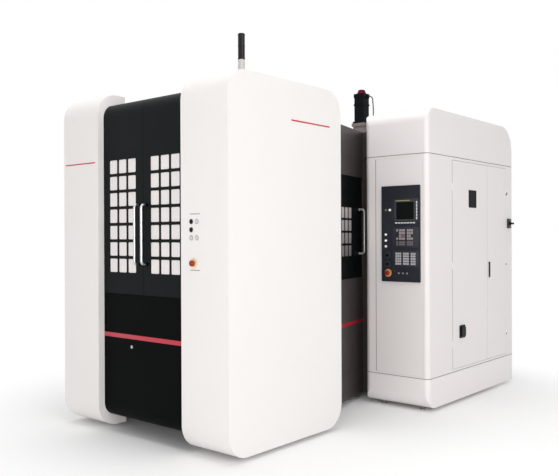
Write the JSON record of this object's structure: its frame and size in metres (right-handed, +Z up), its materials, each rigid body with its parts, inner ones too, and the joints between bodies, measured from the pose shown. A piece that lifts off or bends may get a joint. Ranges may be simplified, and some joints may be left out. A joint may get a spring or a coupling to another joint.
{
  "type": "cnc machining center",
  "caption": "Horizontal CNC machining centre with a two-leaf loading station, slanted operator door, travelling column, pallet changer and electrical cabinet with panel.",
  "frame": {"origin": "on the floor, at the centre of the rectangle of the four outer anchor bolt holes", "axes": "+Z up, the loading station faces -Y, the cabinet stands on the +X side"},
  "size_m": [2.2853, 4.061, 3.144],
  "materials": {
    "cover_paint": "white semi-gloss paint with a fine texture",
    "cabinet_paint": "pale warm grey paint with a fine texture",
    "front_paint": "near-black fine-textured paint",
    "wall_paint": "dark warm grey fine-textured paint",
    "enclosure_paint": "pale grey paint",
    "casting_paint": "grey painted casting",
    "bare_casting": "machined cast iron",
    "machined_steel": "ground steel",
    "chrome": "polished tube",
    "window": "clear polycarbonate sheet",
    "servo_paint": "black motor housing",
    "panel_face": "dark blue-grey panel",
    "screen_glass": "dark display",
    "key_caps": "moulded key caps",
    "red_plastic": "red moulded button",
    "black_plastic": "black moulded plastic",
    "lamp_base": "pale moulded plastic",
    "lamp_lens": "smoked lens",
    "cable_rubber": "black rubber sheath",
    "grey_plastic": "grey moulded plastic",
    "lamp_caps": "pale translucent lamp lenses"
  },
  "bodies": {
    "machine": {"machine_bed": "casting_paint", "levelling_pads": "machined_steel", "bed_linear_rails": "machined_steel", "bed_servo_motors": "servo_paint", "left_front_cover": "cover_paint", "right_front_cover": "cover_paint", "lower_front_panel": "front_paint", "station_frame": "front_paint", "side_wall": "wall_paint", "rear_enclosure": "enclosure_paint", "cabinet_body": "cabinet_paint", "cabinet_cap": "cabinet_paint", "cabinet_skirt": "cabinet_paint", "cabinet_front_panel": "cabinet_paint", "control_panel": "panel_face", "display_screen": "screen_glass", "panel_keys": "key_caps", "lamp_base": "lamp_base", "lamp_lens": "lamp_lens", "tool_changer_stand": "casting_paint", "station_lamps": "lamp_caps"},
    "left_leaf": {"front_left_leaf": "front_paint", "front_left_window": "window", "front_left_handle": "chrome"},
    "right_leaf": {"front_right_leaf": "front_paint", "front_right_window": "window", "front_right_handle": "chrome"},
    "operator_door": {"side_door": "wall_paint", "side_door_window": "window", "side_door_handle": "chrome"},
    "travelling_column": {"column": "casting_paint", "y_servo_motor": "servo_paint", "motor_cable": "cable_rubber"},
    "head": {"spindle_head": "casting_paint"},
    "spindle_shaft": {"spindle": "machined_steel"},
    "saddle": {"table_saddle": "bare_casting"},
    "table": {"rotary_table": "machined_steel", "machining_pallet": "bare_casting"},
    "changer_ram": {"changer_lift": "machined_steel"},
    "pallet_changer": {"changer_fork": "casting_paint", "changer_partition": "enclosure_paint", "loading_pallet": "bare_casting"},
    "magazine": {"magazine_disc": "machined_steel"},
    "arm_ram": {"arm_shaft": "machined_steel"},
    "gripper_arm": {"tool_change_arm": "machined_steel"},
    "station_stop": {"station_stop_button": "red_plastic"},
    "start": {"start_button": "black_plastic"},
    "reset": {"reset_button": "black_plastic"},
    "panel_stop": {"panel_stop_button": "red_plastic"},
    "feed_override": {"feed_dial": "black_plastic"},
    "spindle_override": {"spindle_dial": "black_plastic"},
    "mains": {"main_switch": "black_plastic"},
    "large_door": {"large_cabinet_door": "cabinet_paint", "cabinet_window": "screen_glass", "service_outlet": "grey_plastic"},
    "small_door": {"small_cabinet_door": "cabinet_paint"},
    "door_lever": {"cabinet_door_handle": "black_plastic"},
    "x_screw": {"x_ball_screw": "machined_steel"},
    "y_screw": {"y_ball_screw": "machined_steel"},
    "z_screw": {"z_ball_screw": "machined_steel"}
  },
  "joints": [
    {"name": "front_left_slide", "type": "slide", "parent": "machine", "child": "left_leaf", "axis": [-1, 0, 0], "range_m": [0, 0.43]},
    {"name": "front_right_slide", "type": "slide", "parent": "machine", "child": "right_leaf", "axis": [1, 0, 0], "range_m": [0, 0.43]},
    {"name": "side_door_slide", "type": "slide", "parent": "machine", "child": "operator_door", "axis": [0.2433, -0.97, 0], "range_m": [0, 0.7]},
    {"name": "x_axis", "type": "slide", "parent": "machine", "child": "travelling_column", "axis": [1, 0, 0], "range_m": [-0.25, 0.25]},
    {"name": "y_axis", "type": "slide", "parent": "travelling_column", "child": "head", "axis": [0, 0, 1], "range_m": [-0.28, 0.28]},
    {"name": "z_axis", "type": "slide", "parent": "machine", "child": "saddle", "axis": [0, 1, 0], "range_m": [-0.52, 0]},
    {"name": "b_axis", "type": "hinge", "parent": "saddle", "child": "table", "pos_m": [0, -0.037, 0.93], "axis": [0, 0, 1], "continuous": true},
    {"name": "spindle_spin", "type": "hinge", "parent": "head", "child": "spindle_shaft", "pos_m": [0, 0.5, 1.4], "axis": [0, 1, 0], "continuous": true},
    {"name": "changer_lift", "type": "slide", "parent": "machine", "child": "changer_ram", "axis": [0, 0, 1], "range_m": [0, 0.06]},
    {"name": "changer_turn", "type": "hinge", "parent": "changer_ram", "child": "pallet_changer", "pos_m": [0, -1.017, 0.94], "axis": [0, 0, 1], "range_deg": [0, 180]},
    {"name": "magazine_turn", "type": "hinge", "parent": "machine", "child": "magazine", "pos_m": [-0.84, 0.79, 1.68], "axis": [1, 0, 0], "continuous": true},
    {"name": "arm_extend", "type": "slide", "parent": "machine", "child": "arm_ram", "axis": [0, -1, 0], "range_m": [0, 0.11]},
    {"name": "arm_swing", "type": "hinge", "parent": "arm_ram", "child": "gripper_arm", "pos_m": [-0.51, 0.35, 1.68], "axis": [0, 1, 0], "range_deg": [-90, 90]},
    {"name": "station_stop_press", "type": "slide", "parent": "machine", "child": "station_stop", "axis": [0, 1, 0], "range_m": [0, 0.004]},
    {"name": "start_press", "type": "slide", "parent": "machine", "child": "start", "axis": [0, 1, 0], "range_m": [0, 0.003], "stiffness_N_per_m": 800, "springref_m": -0.002},
    {"name": "reset_press", "type": "slide", "parent": "machine", "child": "reset", "axis": [0, 1, 0], "range_m": [0, 0.003], "stiffness_N_per_m": 800, "springref_m": -0.002},
    {"name": "panel_stop_press", "type": "slide", "parent": "machine", "child": "panel_stop", "axis": [0, 1, 0], "range_m": [0, 0.004]},
    {"name": "feed_dial_turn", "type": "hinge", "parent": "machine", "child": "feed_override", "pos_m": [0.8605, 0.16, 1.39], "axis": [0, 1, 0], "range_deg": [-135, 135]},
    {"name": "spindle_dial_turn", "type": "hinge", "parent": "machine", "child": "spindle_override", "pos_m": [0.8605, 0.16, 1.31], "axis": [0, 1, 0], "range_deg": [-135, 135]},
    {"name": "main_switch_turn", "type": "hinge", "parent": "machine", "child": "mains", "pos_m": [1.2908, 1.925, 1.693], "axis": [1, 0, 0], "range_deg": [0, 90]},
    {"name": "large_door_swing", "type": "hinge", "parent": "machine", "child": "large_door", "pos_m": [1.2705, 0.6465, 1.3], "axis": [0, 0, -1], "range_deg": [0, 100]},
    {"name": "small_door_swing", "type": "hinge", "parent": "machine", "child": "small_door", "pos_m": [1.2705, 1.8665, 1.3], "axis": [0, 0, 1], "range_deg": [0, 90]},
    {"name": "door_handle_turn", "type": "hinge", "parent": "small_door", "child": "door_lever", "pos_m": [1.2705, 1.443, 1.292], "axis": [1, 0, 0], "range_deg": [0, 90]},
    {"name": "x_screw_turn", "type": "hinge", "parent": "machine", "child": "x_screw", "pos_m": [0, 1.015, 0.655], "axis": [1, 0, 0], "range_deg": [-4600, 4600]},
    {"name": "y_screw_turn", "type": "hinge", "parent": "travelling_column", "child": "y_screw", "pos_m": [0, 1.053, 2], "axis": [0, 0, 1], "range_deg": [-5100, 5100]},
    {"name": "z_screw_turn", "type": "hinge", "parent": "machine", "child": "z_screw", "pos_m": [0, 0, 0.5], "axis": [0, 1, 0], "range_deg": [-10, 9400]}
  ],
  "couplings": [
    {"joint": "x_screw_turn", "follows": "x_axis", "rad_per_m": -314.16},
    {"joint": "y_screw_turn", "follows": "y_axis", "rad_per_m": -314.16},
    {"joint": "z_screw_turn", "follows": "z_axis", "rad_per_m": -314.16}
  ]
}
